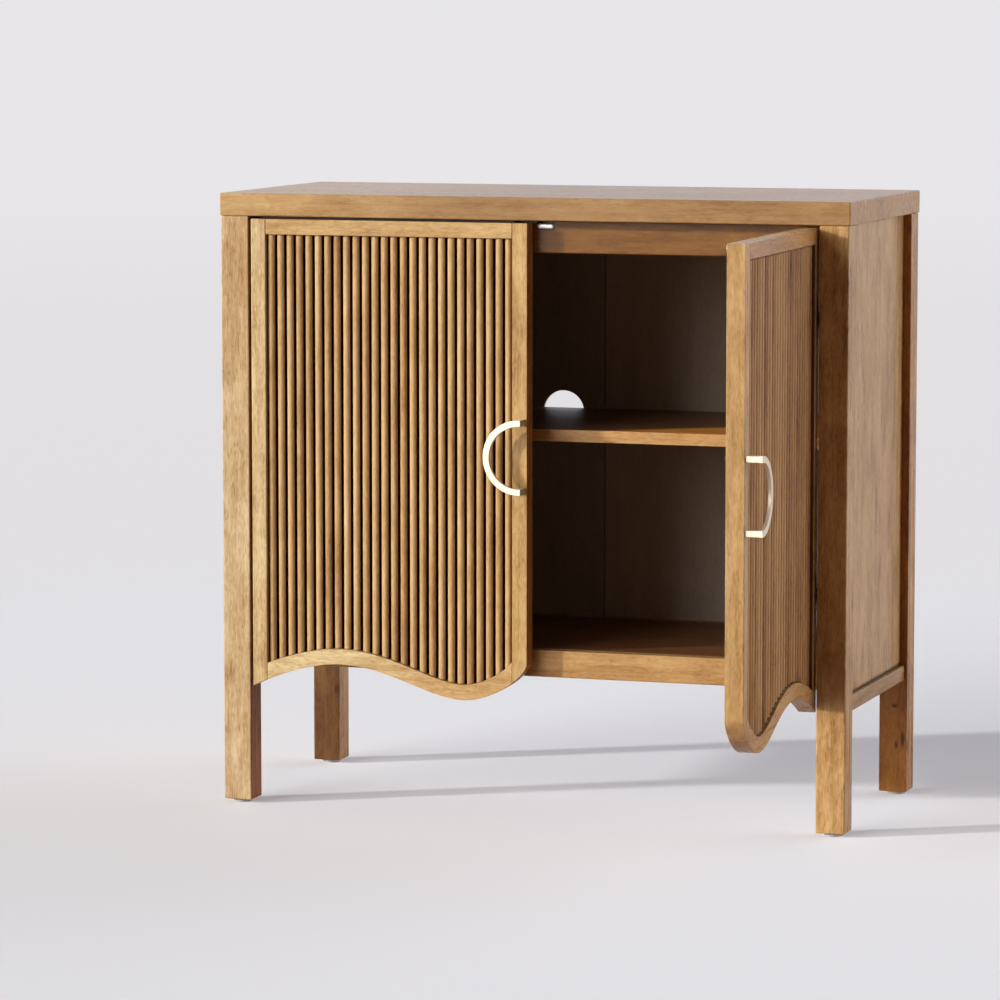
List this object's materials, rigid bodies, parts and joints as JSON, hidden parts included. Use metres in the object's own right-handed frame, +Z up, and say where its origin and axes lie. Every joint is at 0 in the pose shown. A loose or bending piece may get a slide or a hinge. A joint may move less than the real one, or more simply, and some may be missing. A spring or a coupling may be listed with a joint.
{
  "type": "sideboard",
  "caption": "Free-standing stained-wood sideboard on square legs, with reeded doors that end in a wavy lower rail, half-ring metal handles and a shelf inside.",
  "frame": {"origin": "on the floor, under the middle of the bounding box of the object at rest, with the right door open", "axes": "+X to the right seen from the front, +Y to the back (the front with the doors faces -Y), +Z up"},
  "size_m": [0.8, 0.6954, 0.76],
  "materials": {
    "stained_wood": "golden-brown stain under a satin lacquer",
    "inner_wood": "dark brown stain, satin",
    "champagne_metal": "satin champagne gold",
    "steel": "plain zinc-plated steel",
    "white_plastic": "matte white",
    "glide_plastic": "matte dark grey"
  },
  "bodies": {
    "cabinet": {"top_panel": "stained_wood", "leg_front_left": "stained_wood", "leg_front_right": "stained_wood", "leg_rear_left": "stained_wood", "leg_rear_right": "stained_wood", "glide_front_left": "glide_plastic", "glide_front_right": "glide_plastic", "glide_rear_left": "glide_plastic", "glide_rear_right": "glide_plastic", "side_panel_left": "stained_wood", "side_panel_right": "stained_wood", "side_rail_left": "stained_wood", "side_rail_right": "stained_wood", "front_top_rail": "stained_wood", "front_lower_rail": "stained_wood", "rear_top_rail": "inner_wood", "rear_lower_rail": "inner_wood", "bottom_panel": "inner_wood", "bottom_cleat_left": "inner_wood", "bottom_cleat_right": "inner_wood", "back_panel_left": "inner_wood", "back_panel_right": "inner_wood", "shelf": "inner_wood", "shelf_pin_front_left": "steel", "shelf_pin_front_right": "steel", "shelf_pin_rear_left": "steel", "shelf_pin_rear_right": "steel", "catch_left": "white_plastic", "catch_right": "white_plastic", "left_hinge_arm_upper": "steel", "left_hinge_arm_lower": "steel", "right_hinge_arm_upper": "steel", "right_hinge_arm_lower": "steel"},
    "left_door": {"left_door_hinge_stile": "stained_wood", "left_door_free_stile": "stained_wood", "left_door_top_rail": "stained_wood", "left_door_wave_rail": "stained_wood", "left_door_reeded_panel": "stained_wood", "left_door_handle": "champagne_metal", "left_door_handle_screw_upper": "steel", "left_door_handle_screw_lower": "steel", "left_door_strike_plate": "steel", "left_door_hinge_pin_upper": "steel", "left_door_hinge_pin_lower": "steel"},
    "right_door": {"right_door_hinge_stile": "stained_wood", "right_door_free_stile": "stained_wood", "right_door_top_rail": "stained_wood", "right_door_wave_rail": "stained_wood", "right_door_reeded_panel": "stained_wood", "right_door_handle": "champagne_metal", "right_door_handle_screw_upper": "steel", "right_door_handle_screw_lower": "steel", "right_door_strike_plate": "steel", "right_door_hinge_pin_upper": "steel", "right_door_hinge_pin_lower": "steel"}
  },
  "joints": [
    {"name": "left_door_hinge", "type": "hinge", "parent": "cabinet", "child": "left_door", "pos_m": [-0.3527, 0.00419, 0.455], "axis": [0, 0, -1], "range_deg": [0, 105]},
    {"name": "right_door_hinge", "type": "hinge", "parent": "cabinet", "child": "right_door", "pos_m": [0.3527, 0.00419, 0.455], "axis": [0, 0, 1], "range_deg": [-91.5, 13.5]}
  ]
}
